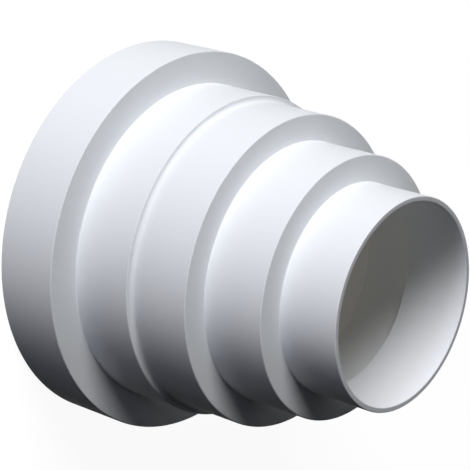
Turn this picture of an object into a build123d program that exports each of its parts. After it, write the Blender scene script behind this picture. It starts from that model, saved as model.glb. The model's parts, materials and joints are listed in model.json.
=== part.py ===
from build123d import *
from itertools import accumulate
import os

# Stepped duct reducer: one moulded shell that joins round ducts of five sizes.
# The shell stands on its wide end. The axis is +Z and the origin is the centre of the
# wide rim. Each step is a straight spigot that a duct slides over, and the inside
# follows the outside, one wall thickness further in.

# Duct sizes that the spigots serve, as diameters, from the wide end up
duct_wide = 150.0
duct_second = 125.0
duct_third = 120.0
duct_fourth = 100.0
duct_narrow = 80.0

# A spigot is this much smaller in diameter than the duct that slides over it
duct_clearance = 0.5

# Length of each spigot along the axis
length_wide = 26.5
length_second = 26.0
length_third = 26.0
length_fourth = 26.5
length_narrow = 25.0

# Thickness of the straight walls and of the flat shoulders between them
wall = 2.0
shoulder = 2.0

# The low step between the second and third spigots has a round cove for its root
cove_round = 1.6

# Bevels outside: the edge of each shoulder and its root
edge_bevel = 0.3
root_bevel = 0.3

# Bevels inside: the edge of each shoulder and its root
inside_edge_bevel = 0.3
inside_root_bevel = 0.5

# Bevel of the two rims, inside and outside
rim_bevel = 0.25

ducts = [duct_wide, duct_second, duct_third, duct_fourth, duct_narrow]
lengths = [length_wide, length_second, length_third, length_fourth, length_narrow]

# Outer radius of each spigot, and the height of its head, where the next shoulder begins
radii = [(duct - duct_clearance) / 2 for duct in ducts]
heads = list(accumulate(lengths))
top = heads[-1]

# Each shoulder has two corners outside and two inside, as (radius, height). Its inner
# face lies below it where the next spigot is narrower, and above it where it is wider.
outer_corners = []
inner_corners = []
for radius, next_radius, head in zip(radii, radii[1:], heads):
    inner_face = head - shoulder if next_radius < radius else head + shoulder
    outer_corners.append([(radius, head), (next_radius, head)])
    inner_corners.append([(radius - wall, inner_face), (next_radius - wall, inner_face)])

# The edges are the corners that stand out into the air, and the roots are the hollow ones
outer_edges = [max(pair) for pair in outer_corners]
outer_roots = [min(pair) for pair in outer_corners]
inner_edges = [min(pair) for pair in inner_corners]
inner_roots = [max(pair) for pair in inner_corners]
low_step_root = outer_roots.pop(1)

# The half section runs up the outside and down the inside, from rim to rim
wide_rim = [(radii[0], 0.0), (radii[0] - wall, 0.0)]
narrow_rim = [(radii[-1], top), (radii[-1] - wall, top)]
rims = wide_rim + narrow_rim
outside = [wide_rim[0], *sum(outer_corners, []), narrow_rim[0]]
inside = [wide_rim[1], *sum(inner_corners, []), narrow_rim[1]]


def vertices_at(corners):
    """The vertex of the half section at each of these corners."""
    return [half_section.vertices().sort_by_distance(corner)[0] for corner in corners]


# The shell is the half section turned once about the duct axis
with BuildPart() as reducer_body:
    with BuildSketch(Plane.XZ) as half_section:
        with BuildLine():
            Polyline(*outside, *reversed(inside), close=True)
        make_face()
        fillet(vertices_at([low_step_root]), radius=cove_round)
        chamfer(vertices_at(outer_roots), length=root_bevel)
        chamfer(vertices_at(outer_edges), length=edge_bevel)
        chamfer(vertices_at(inner_roots), length=inside_root_bevel)
        chamfer(vertices_at(inner_edges), length=inside_edge_bevel)
        chamfer(vertices_at(rims), length=rim_bevel)
    revolve(axis=Axis.Z)

reducer_body.part.label = "reducer_body"

os.makedirs("parts", exist_ok=True)
export_step(reducer_body.part, "parts/reducer_body.step")
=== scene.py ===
import json
import math

import bmesh
import bpy
from bpy.props import (
    FloatProperty,
    FloatVectorProperty,
    IntProperty,
    PointerProperty,
)
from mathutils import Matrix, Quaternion, Vector


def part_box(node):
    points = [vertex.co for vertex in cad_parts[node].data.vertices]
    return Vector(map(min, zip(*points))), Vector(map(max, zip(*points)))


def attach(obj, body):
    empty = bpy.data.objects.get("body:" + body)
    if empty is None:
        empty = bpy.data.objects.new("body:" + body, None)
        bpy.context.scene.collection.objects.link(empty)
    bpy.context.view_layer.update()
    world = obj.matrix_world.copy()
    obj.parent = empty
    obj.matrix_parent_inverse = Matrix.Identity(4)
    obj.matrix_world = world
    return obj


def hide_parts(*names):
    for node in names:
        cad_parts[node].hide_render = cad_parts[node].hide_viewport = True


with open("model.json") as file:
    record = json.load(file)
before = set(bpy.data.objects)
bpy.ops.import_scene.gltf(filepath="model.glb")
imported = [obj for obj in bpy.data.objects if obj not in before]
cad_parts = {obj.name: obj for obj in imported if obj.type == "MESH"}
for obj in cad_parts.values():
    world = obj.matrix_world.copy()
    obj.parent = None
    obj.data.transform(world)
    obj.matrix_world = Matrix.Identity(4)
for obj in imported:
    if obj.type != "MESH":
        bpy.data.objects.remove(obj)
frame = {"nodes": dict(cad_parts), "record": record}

# A stepped duct reducer of white moulded plastic, standing on its wide end. The packed
# solid gives the sizes, and the shell modelled here stands for it with every edge and
# root truly rounded. Lengths are in metres, and the duct axis is +Z.

bl_info = {
    "name": "Duct reducer",
    "version": (1, 0, 0),
    "blender": (4, 5, 0),
    "location": "3D View > Sidebar > Reducer",
    "description": "Builds a stepped round duct reducer, its plastic and a plain studio",
    "category": "Add Mesh",
}

NODE = "reducer_body"
BODY = "root"
PLASTIC = "white_plastic"

SPIGOT_MOUNTS = ("spigot_150", "spigot_125", "spigot_120", "spigot_100", "spigot_80")
NARROW_BORE = "narrow_mouth"
# The second shoulder, between two spigots of nearly one size, has a cove for its root
COVED_SHOULDER = 1
# Attribute that marks the inner faces, which a darker white paints with shade
INNER_SHADE_LAYER = "inside"

MM = 0.001
# Share of a shoulder's width beyond which the solid is as high as that shoulder
NEAR_THE_EDGE = 0.8
# A straight of the section shorter than this many support distances gets no lines
SUPPORTS_TO_FIT = 3
# Points of the mesh nearer than this are one point
MERGE_DISTANCE = 0.001 * MM

WHITE = (1.0, 1.0, 1.0, 1.0)
# How many finer layers of noise the clouds, the grain and the waves have
CLOUD_DETAIL = 3.0
GRAIN_DETAIL = 2.0
WAVE_DETAIL = 1.0
# Noise lies between 0 and 1, about this value
NOISE_MIDDLE = 0.5


def mount_radius(name):
    """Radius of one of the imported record's round mounts."""
    mounts = {mount["name"]: mount for mount in frame["record"]["mounts"]}
    return mounts[name]["dims"]["r_mm"] * MM


def shoulder_heights(radii):
    """Height of each shoulder: the solid's highest point near the spigot's own radius."""
    points = [vertex.co for vertex in frame["nodes"][NODE].data.vertices]
    heights = []
    for radius, next_radius in zip(radii, radii[1:]):
        line = next_radius + NEAR_THE_EDGE * (radius - next_radius)
        heights.append(max(p.z for p in points if math.hypot(p.x, p.y) > line))
    return heights


SPIGOT_RADII = [mount_radius(name) for name in SPIGOT_MOUNTS]
SHOULDER_HEIGHTS = shoulder_heights(SPIGOT_RADII)
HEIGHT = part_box(NODE)[1].z
WALL = SPIGOT_RADII[-1] - mount_radius(NARROW_BORE)


class ReducerSizes(bpy.types.PropertyGroup):
    """Sizes of the shell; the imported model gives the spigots, the height and the wall."""

    radii: FloatVectorProperty(
        name="Spigot radii",
        description="Outer radius of each spigot, from the wide end up",
        size=len(SPIGOT_RADII),
        default=SPIGOT_RADII,
        unit="LENGTH",
    )
    heights: FloatVectorProperty(
        name="Shoulder heights",
        description="Height of each flat shoulder above the wide rim",
        size=len(SHOULDER_HEIGHTS),
        default=SHOULDER_HEIGHTS,
        unit="LENGTH",
    )
    height: FloatProperty(
        name="Height",
        description="Height of the narrow rim above the wide one",
        default=HEIGHT,
        unit="LENGTH",
    )
    wall: FloatProperty(
        name="Wall",
        description="Thickness of the straight walls",
        default=WALL,
        unit="LENGTH",
    )
    shoulder: FloatProperty(
        name="Shoulder",
        description="Thickness of the flat shoulders",
        default=WALL,
        unit="LENGTH",
    )
    edge_round: FloatProperty(
        name="Edge rounding",
        description="Radius of each shoulder's outer edge",
        default=0.4 * MM,
        unit="LENGTH",
    )
    root_round: FloatProperty(
        name="Root rounding",
        description="Radius of the root where a spigot rises from a shoulder",
        default=0.3 * MM,
        unit="LENGTH",
    )
    cove_round: FloatProperty(
        name="Cove",
        description="Radius of the low shoulder's root",
        default=1.6 * MM,
        unit="LENGTH",
    )
    inner_edge_round: FloatProperty(
        name="Inner edge rounding",
        description="Radius of each shoulder's edge inside the shell",
        default=0.5 * MM,
        unit="LENGTH",
    )
    inner_root_round: FloatProperty(
        name="Inner root rounding",
        description="Radius of each shoulder's root inside the shell",
        default=0.8 * MM,
        unit="LENGTH",
    )
    rim_round: FloatProperty(
        name="Rim rounding",
        description="Radius of the two rims, inside and outside",
        default=0.35 * MM,
        unit="LENGTH",
    )
    support: FloatProperty(
        name="Support line",
        description="Distance from a rounding to the line that keeps the flat beside it flat",
        default=0.5 * MM,
        unit="LENGTH",
    )
    ring_gap: FloatProperty(
        name="Ring gap",
        description="Longest stretch of wall between two rings of the mesh",
        default=8.0 * MM,
        unit="LENGTH",
    )
    arc_steps: IntProperty(
        name="Arc steps",
        description="Steps in each small rounding",
        default=5,
    )
    turn_steps: IntProperty(
        name="Turn steps",
        description="Steps in the full turn about the duct axis",
        default=256,
    )


class ReducerFinish(bpy.types.PropertyGroup):
    """Colour and surface of the white plastic."""

    white: FloatVectorProperty(
        name="White",
        description="Main colour of the plastic",
        subtype="COLOR",
        size=4,
        default=(0.846, 0.870, 0.894, 1.0),
    )
    cloud: FloatVectorProperty(
        name="Cloud",
        description="Slightly greyer white of the soft clouds in the moulding",
        subtype="COLOR",
        size=4,
        default=(0.826, 0.850, 0.876, 1.0),
    )
    # Darker than the main white: painted shade on the inner faces, not a tint of the plastic
    inside: FloatVectorProperty(
        name="Inside",
        description="Slightly warmer white of the inner faces",
        subtype="COLOR",
        size=4,
        default=(0.784, 0.800, 0.838, 1.0),
    )
    roughness: FloatProperty(
        name="Roughness",
        description="Mean roughness of the satin surface",
        default=0.66,
    )
    roughness_spread: FloatProperty(
        name="Roughness spread",
        description="How far the roughness strays over the surface",
        default=0.10,
    )
    specular: FloatProperty(
        name="Specular",
        description="Strength of the reflection at the plastic's surface",
        default=0.02,
    )
    grain_size: FloatProperty(
        name="Grain size",
        description="Width of the fine moulded grain",
        default=0.45 * MM,
        unit="LENGTH",
    )
    grain_depth: FloatProperty(
        name="Grain depth",
        description="Depth of the fine moulded grain",
        default=0.006 * MM,
        unit="LENGTH",
    )
    wave_size: FloatProperty(
        name="Wave size",
        description="Width of the slow waves that moulding leaves in the walls",
        default=14.0 * MM,
        unit="LENGTH",
    )
    wave_depth: FloatProperty(
        name="Wave depth",
        description="Depth of the slow waves in the walls",
        default=0.012 * MM,
        unit="LENGTH",
    )
    cloud_size: FloatProperty(
        name="Cloud size",
        description="Width of the soft colour clouds",
        default=40.0 * MM,
        unit="LENGTH",
    )


class StudioSettings(bpy.types.PropertyGroup):
    """Camera, lamps and floor."""

    aim: FloatVectorProperty(
        name="Aim",
        description="Point on the duct's middle plane that the camera looks at",
        subtype="TRANSLATION",
        unit="LENGTH",
        default=(-7.26 * MM, 0.0, 46.75 * MM),
    )
    distance: FloatProperty(
        name="Camera distance",
        description="Distance from the camera to the aim point",
        default=743.8 * MM,
        unit="LENGTH",
    )
    elevation: FloatProperty(
        name="Camera elevation",
        description="Angle of the camera above the floor",
        subtype="ANGLE",
        default=math.radians(38.647),
    )
    roll: FloatProperty(
        name="Camera roll",
        description="Turn about the line of sight that lays the duct axis nearly level",
        subtype="ANGLE",
        default=math.radians(106.091),
    )
    lens: FloatProperty(
        name="Lens",
        description="Focal length in millimetres on a sensor 36 mm wide",
        default=148.97,
    )
    key_direction: FloatVectorProperty(
        name="Key direction",
        description="Direction from the reducer to the key lamp",
        subtype="DIRECTION",
        default=(-0.678, -0.665, 0.314),
    )
    lamp_distance: FloatProperty(
        name="Lamp distance",
        description="Distance from the reducer to each soft lamp round it",
        default=2.4,
        unit="LENGTH",
    )
    key_width: FloatProperty(
        name="Key width",
        description="Width of the tall key lamp",
        default=1.2,
        unit="LENGTH",
    )
    key_height: FloatProperty(
        name="Key height",
        description="Height of the tall key lamp",
        default=1.45,
        unit="LENGTH",
    )
    low_width: FloatProperty(
        name="Low lamp width",
        description="Width of the side and back lamps",
        default=0.5,
        unit="LENGTH",
    )
    low_height: FloatProperty(
        name="Low lamp height",
        description="Height of the side and back lamps",
        default=0.25,
        unit="LENGTH",
    )
    key_power: FloatProperty(
        name="Key power",
        description="Power of the key lamp",
        default=59.0,
        unit="POWER",
    )
    side_direction: FloatVectorProperty(
        name="Side direction",
        description="Direction from the reducer to the low side lamp",
        subtype="DIRECTION",
        default=(-0.302, -0.950, 0.087),
    )
    side_power: FloatProperty(
        name="Side power",
        description="Power of the low side lamp",
        default=8.4,
        unit="POWER",
    )
    side_colour: FloatVectorProperty(
        name="Side colour",
        description="Cool tint of the low side lamp",
        subtype="COLOR",
        size=3,
        default=(0.80, 0.81, 1.0),
    )
    back_direction: FloatVectorProperty(
        name="Back direction",
        description="Direction from the reducer to the low lamp behind it",
        subtype="DIRECTION",
        default=(0.081, 0.997, 0.0),
    )
    back_power: FloatProperty(
        name="Back power",
        description="Power of the low lamp behind the reducer",
        default=25.0,
        unit="POWER",
    )
    inner_lamp_width: FloatProperty(
        name="Inner lamp width",
        description="Diameter of the lamp inside the wide end",
        default=120.0 * MM,
        unit="LENGTH",
    )
    inner_lamp_height: FloatProperty(
        name="Inner lamp height",
        description="Height of the lamp inside above the floor",
        default=1.0 * MM,
        unit="LENGTH",
    )
    inner_lamp_power: FloatProperty(
        name="Inner lamp power",
        description="Power of the lamp inside, for the light that enters by the wide end",
        default=0.0125,
        unit="POWER",
    )
    inner_lamp_colour: FloatVectorProperty(
        name="Inner lamp colour",
        description="Warm tint of the light that has passed through the reducer",
        subtype="COLOR",
        size=3,
        default=(1.0, 0.93, 0.73),
    )
    ambient: FloatProperty(
        name="Ambient",
        description="Strength of the even light from all round",
        default=0.002,
    )
    floor_width: FloatProperty(
        name="Floor width",
        description="Side of the square floor",
        default=4.0,
        unit="LENGTH",
    )
    floor_bounce: FloatVectorProperty(
        name="Floor bounce",
        description="Colour with which the floor lights the reducer from below",
        subtype="COLOR",
        size=4,
        default=(0.02, 0.02, 0.02, 1.0),
    )
    floor_glow: FloatProperty(
        name="Floor glow",
        description="Strength of the floor's own white, where 1 alone would be white",
        default=1.17,
    )
    shadow_share: FloatProperty(
        name="Shadow share",
        description="Share of the floor's white that the reducer's shadow can take away",
        default=0.2,
    )


class Value:
    """An output of a shader node, on which Python's operators add Math nodes."""

    def __init__(self, graph, socket):
        self.graph = graph
        self.socket = socket

    def __add__(self, other):
        return self.graph.math("ADD", self, other)

    def __radd__(self, other):
        return self.graph.math("ADD", other, self)

    def __sub__(self, other):
        return self.graph.math("SUBTRACT", self, other)

    def __rsub__(self, other):
        return self.graph.math("SUBTRACT", other, self)

    def __mul__(self, other):
        return self.graph.math("MULTIPLY", self, other)

    def __rmul__(self, other):
        return self.graph.math("MULTIPLY", other, self)


class Made:
    """A shader node just made, whose outputs are read by name or by number."""

    def __init__(self, graph, node):
        self.graph = graph
        self.node = node

    def __getitem__(self, name):
        return Value(self.graph, self.node.outputs[name])


class Graph:
    """The node tree of a material or of the world."""

    def __init__(self, tree):
        self.tree = tree
        tree.nodes.clear()

    def node(self, kind, settings=None, inputs=None):
        """Adds a node: its settings first, then the values or links of its inputs."""
        node = self.tree.nodes.new(kind)
        for name, value in (settings or {}).items():
            setattr(node, name, value)
        for name, value in (inputs or {}).items():
            socket = node.inputs[name]
            if isinstance(value, Value):
                self.tree.links.new(value.socket, socket)
            else:
                socket.default_value = value
        return Made(self, node)

    def math(self, operation, first, second):
        """Math node on two values, on two numbers or on one of each."""
        return self.node(
            "ShaderNodeMath", {"operation": operation}, {0: first, 1: second}
        )["Value"]

    def mix_colour(self, factor, first, second):
        """Colour mix: sockets 6 and 7 of a Mix node are its two colours, and output 2."""
        mix = self.node(
            "ShaderNodeMix", {"data_type": "RGBA"}, {0: factor, 6: first, 7: second}
        )
        return mix[2]

    def noise(self, place, width, detail):
        """Soft noise between 0 and 1 whose features are about as wide as width."""
        return self.node(
            "ShaderNodeTexNoise",
            {},
            {"Vector": place, "Scale": 1.0 / width, "Detail": detail},
        )["Fac"]


def plastic_material(finish):
    """White moulded plastic: soft clouds, fine grain, slow waves, and painted shade inside,
    where the inner faces have a darker white.
    """
    material = bpy.data.materials.new(PLASTIC)
    material.use_nodes = True
    graph = Graph(material.node_tree)
    place = graph.node("ShaderNodeTexCoord")["Object"]
    inside = graph.node("ShaderNodeAttribute", {"attribute_name": INNER_SHADE_LAYER})["Fac"]
    clouds = graph.noise(place, finish.cloud_size, CLOUD_DETAIL)
    grain = graph.noise(place, finish.grain_size, GRAIN_DETAIL)
    waves = graph.noise(place, finish.wave_size, WAVE_DETAIL)
    colour = graph.mix_colour(clouds, tuple(finish.white), tuple(finish.cloud))
    # Painted shade: the inner faces take the darker inside white
    colour = graph.mix_colour(inside, colour, tuple(finish.inside))
    roughness = (
        finish.roughness
        + (clouds - NOISE_MIDDLE) * finish.roughness_spread
        + (grain - NOISE_MIDDLE) * finish.roughness_spread
    )
    wavy = graph.node(
        "ShaderNodeBump",
        {},
        {"Height": waves, "Strength": 1.0, "Distance": finish.wave_depth},
    )["Normal"]
    grainy = graph.node(
        "ShaderNodeBump",
        {},
        {"Height": grain, "Strength": 1.0, "Distance": finish.grain_depth, "Normal": wavy},
    )["Normal"]
    shader = graph.node(
        "ShaderNodeBsdfPrincipled",
        {},
        {
            "Base Color": colour,
            "Roughness": roughness,
            "Specular IOR Level": finish.specular,
            "Normal": grainy,
        },
    )["BSDF"]
    graph.node("ShaderNodeOutputMaterial", {}, {"Surface": shader})
    return material


def section_corners(sizes):
    """Corners of the half section, as (radius, height, rounding, inside), in order round it.

    They run up the outside and down the inside, and inside is 1 on the inner faces, which get
    the painted shade.
    """
    radii = list(sizes.radii)
    outer = [(radii[0], 0.0, sizes.rim_round, 0.0)]
    inner = [(radii[0] - sizes.wall, 0.0, sizes.rim_round, 1.0)]
    for step, height in enumerate(sizes.heights):
        radius, next_radius = radii[step], radii[step + 1]
        root = sizes.cove_round if step == COVED_SHOULDER else sizes.root_round
        outer.append((radius, height, sizes.edge_round, 0.0))
        outer.append((next_radius, height, root, 0.0))
        under = height - sizes.shoulder
        inner.append((radius - sizes.wall, under, sizes.inner_root_round, 1.0))
        inner.append((next_radius - sizes.wall, under, sizes.inner_edge_round, 1.0))
    outer.append((radii[-1], sizes.height, sizes.rim_round, 0.0))
    inner.append((radii[-1] - sizes.wall, sizes.height, sizes.rim_round, 1.0))
    return outer + inner[::-1]


def round_section(mesh, sizes):
    """Draws the half section in the XZ plane and rounds its corners.

    Returns the layer that marks the inner faces for their painted shade, and the points of
    each rounding.
    """
    layer = mesh.verts.layers.float.new(INNER_SHADE_LAYER)
    corners = section_corners(sizes)
    points = [mesh.verts.new((radius, 0.0, height)) for radius, height, _, _ in corners]
    mesh.faces.new(points)
    arcs = set()
    for point, (_, _, rounding, inside) in zip(points, corners):
        arc = bmesh.ops.bevel(
            mesh,
            geom=[point],
            offset=rounding,
            offset_type="OFFSET",
            segments=sizes.arc_steps,
            profile=0.5,
            affect="VERTICES",
            material=-1,
        )["verts"]
        for vertex in arc:
            vertex[layer] = inside
        arcs.add(frozenset(arc))
    return layer, arcs


def divide_straights(mesh, layer, arcs, sizes):
    """Adds a support line beside each rounding and rings along the walls."""
    arc_of = {vertex: arc for arc in arcs for vertex in arc}
    straights = [
        edge
        for edge in mesh.edges
        if arc_of[edge.verts[0]] is not arc_of[edge.verts[1]]
    ]
    for edge in straights:
        first, last = edge.verts
        length = edge.calc_length()
        if length < SUPPORTS_TO_FIT * sizes.support:
            continue
        _, near = bmesh.utils.edge_split(edge, first, sizes.support / length)
        near[layer] = first[layer]
        rest = next(e for e in near.link_edges if last in e.verts)
        _, far = bmesh.utils.edge_split(rest, last, sizes.support / rest.calc_length())
        far[layer] = last[layer]
        span = next(e for e in near.link_edges if far in e.verts)
        cuts = int(span.calc_length() / sizes.ring_gap)
        if cuts:
            bmesh.ops.subdivide_edges(mesh, edges=[span], cuts=cuts)


def shell_mesh(sizes):
    """The half section turned once about the duct axis, closed and facing outwards."""
    mesh = bmesh.new()
    layer, arcs = round_section(mesh, sizes)
    divide_straights(mesh, layer, arcs, sizes)
    bmesh.ops.delete(mesh, geom=mesh.faces[:], context="FACES_ONLY")
    bmesh.ops.spin(
        mesh,
        geom=mesh.verts[:] + mesh.edges[:],
        cent=(0.0, 0.0, 0.0),
        axis=(0.0, 0.0, 1.0),
        angle=2 * math.pi,
        steps=sizes.turn_steps,
        use_merge=True,
    )
    bmesh.ops.remove_doubles(mesh, verts=mesh.verts[:], dist=MERGE_DISTANCE)
    bmesh.ops.recalc_face_normals(mesh, faces=mesh.faces[:])
    for face in mesh.faces:
        face.smooth = True
    data = bpy.data.meshes.new("reducer_shell")
    mesh.to_mesh(data)
    mesh.free()
    return data


def add_object(name, data):
    """Puts new data into the scene at the origin."""
    thing = bpy.data.objects.new(name, data)
    bpy.context.scene.collection.objects.link(thing)
    return thing


def to_quaternion(direction):
    """Turn that points a camera's or a lamp's own -Z along a direction."""
    return Vector(direction).to_track_quat("-Z", "Y")


class REDUCER_OT_shell(bpy.types.Operator):
    """Build the stepped plastic shell"""

    bl_idname = "reducer.shell"
    bl_label = "Build the shell"

    def execute(self, context):
        sizes = context.scene.reducer_sizes
        shell = add_object("reducer_shell", shell_mesh(sizes))
        shell.data.materials.append(plastic_material(context.scene.reducer_finish))
        # The large faces set the shading, so a flat looks flat right up to its rounding
        modifier = shell.modifiers.new("true_walls", "WEIGHTED_NORMAL")
        modifier.mode = "FACE_AREA"
        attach(shell, BODY)
        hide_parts(NODE)
        return {"FINISHED"}


def seen_mask(graph):
    """1 for the rays that see the background: from the camera, a gloss or a glass."""
    path = graph.node("ShaderNodeLightPath")
    seen = path["Is Camera Ray"]
    for kind in ("Is Glossy Ray", "Is Transmission Ray"):
        seen = graph.math("MAXIMUM", seen, path[kind])
    return seen


def white_world(studio):
    """A white room to look at, which lights the reducer only a little."""
    world = bpy.data.worlds.new("studio")
    bpy.context.scene.world = world
    world.use_nodes = True
    graph = Graph(world.node_tree)
    seen = seen_mask(graph)
    strength = seen + (1.0 - seen) * studio.ambient
    backdrop = graph.node(
        "ShaderNodeBackground", {}, {"Color": WHITE, "Strength": strength}
    )["Background"]
    graph.node("ShaderNodeOutputWorld", {}, {"Surface": backdrop})


def floor_material(studio):
    """Pale floor: white to look at but for the shadow on it, and dim as a light."""
    material = bpy.data.materials.new("pale_floor")
    material.use_nodes = True
    graph = Graph(material.node_tree)
    glow = graph.node(
        "ShaderNodeEmission", {}, {"Color": WHITE, "Strength": studio.floor_glow}
    )["Emission"]
    shaded = graph.node("ShaderNodeBsdfDiffuse", {}, {"Color": WHITE})["BSDF"]
    bounce = graph.node(
        "ShaderNodeBsdfDiffuse", {}, {"Color": tuple(studio.floor_bounce)}
    )["BSDF"]
    looked_at = graph.node(
        "ShaderNodeMixShader", {}, {0: studio.shadow_share, 1: glow, 2: shaded}
    )["Shader"]
    surface = graph.node(
        "ShaderNodeMixShader", {}, {0: seen_mask(graph), 1: bounce, 2: looked_at}
    )["Shader"]
    graph.node("ShaderNodeOutputMaterial", {}, {"Surface": surface})
    return material


def add_floor(studio):
    """Square floor under the wide rim."""
    mesh = bmesh.new()
    bmesh.ops.create_grid(mesh, x_segments=1, y_segments=1, size=studio.floor_width / 2)
    data = bpy.data.meshes.new("floor")
    mesh.to_mesh(data)
    mesh.free()
    data.materials.append(floor_material(studio))
    add_object("floor", data)


def add_lamp(name, place, towards, size, power, colour):
    """Soft oval lamp, with its width and height as size, that shines towards a direction."""
    lamp = bpy.data.lights.new(name, "AREA")
    lamp.shape = "ELLIPSE"
    lamp.size, lamp.size_y = size
    lamp.energy = power
    lamp.color = colour
    thing = add_object(name, lamp)
    thing.location = place
    thing.rotation_mode = "QUATERNION"
    thing.rotation_quaternion = to_quaternion(towards)
    return thing


def add_lamps(studio):
    """Tall key, low side and back lamps, and a faint one inside the wide end."""
    middle = Vector((0.0, 0.0, HEIGHT / 2))
    tall = (studio.key_width, studio.key_height)
    low = (studio.low_width, studio.low_height)
    white = WHITE[:3]
    for name, direction, size, power, colour in (
        ("key_lamp", studio.key_direction, tall, studio.key_power, white),
        ("side_lamp", studio.side_direction, low, studio.side_power, studio.side_colour),
        ("back_lamp", studio.back_direction, low, studio.back_power, white),
    ):
        away = Vector(direction).normalized()
        place = middle + away * studio.lamp_distance
        add_lamp(name, place, -away, size, power, colour)
    inner = add_lamp(
        "inner_lamp",
        (0.0, 0.0, studio.inner_lamp_height),
        (0.0, 0.0, 1.0),
        (studio.inner_lamp_width, studio.inner_lamp_width),
        studio.inner_lamp_power,
        studio.inner_lamp_colour,
    )
    inner.visible_camera = False
    inner.visible_glossy = False


def add_camera(studio):
    """Camera at the photograph's viewing angle, turned to lay the duct axis level."""
    data = bpy.data.cameras.new("camera")
    data.lens = studio.lens
    camera = add_object("camera", data)
    ahead = Vector((0.0, math.cos(studio.elevation), -math.sin(studio.elevation)))
    camera.location = Vector(studio.aim) - ahead * studio.distance
    camera.rotation_mode = "QUATERNION"
    roll = Quaternion((0.0, 0.0, 1.0), studio.roll)
    camera.rotation_quaternion = to_quaternion(ahead) @ roll
    bpy.context.scene.camera = camera


class REDUCER_OT_studio(bpy.types.Operator):
    """Build the floor, the lamps and the camera"""

    bl_idname = "reducer.studio"
    bl_label = "Build the studio"

    def execute(self, context):
        studio = context.scene.reducer_studio
        context.scene.view_settings.view_transform = "Standard"
        add_camera(studio)
        white_world(studio)
        add_floor(studio)
        add_lamps(studio)
        return {"FINISHED"}


class REDUCER_PT_panel(bpy.types.Panel):
    """Sizes, finish and studio of the reducer"""

    bl_idname = "REDUCER_PT_panel"
    bl_label = "Duct reducer"
    bl_space_type = "VIEW_3D"
    bl_region_type = "UI"
    bl_category = "Reducer"

    def draw(self, context):
        scene = context.scene
        for settings in (scene.reducer_sizes, scene.reducer_finish, scene.reducer_studio):
            for name in settings.__annotations__:
                self.layout.prop(settings, name)
        self.layout.operator(REDUCER_OT_shell.bl_idname)
        self.layout.operator(REDUCER_OT_studio.bl_idname)


CLASSES = (
    ReducerSizes,
    ReducerFinish,
    StudioSettings,
    REDUCER_OT_shell,
    REDUCER_OT_studio,
    REDUCER_PT_panel,
)


def register():
    for each in CLASSES:
        bpy.utils.register_class(each)
    bpy.types.Scene.reducer_sizes = PointerProperty(type=ReducerSizes)
    bpy.types.Scene.reducer_finish = PointerProperty(type=ReducerFinish)
    bpy.types.Scene.reducer_studio = PointerProperty(type=StudioSettings)


def unregister():
    del bpy.types.Scene.reducer_studio
    del bpy.types.Scene.reducer_finish
    del bpy.types.Scene.reducer_sizes
    for each in reversed(CLASSES):
        bpy.utils.unregister_class(each)


def main():
    """Builds the studio and the shell."""
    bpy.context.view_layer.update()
    register()
    bpy.ops.reducer.studio()
    bpy.ops.reducer.shell()


if __name__ == "__main__":
    main()
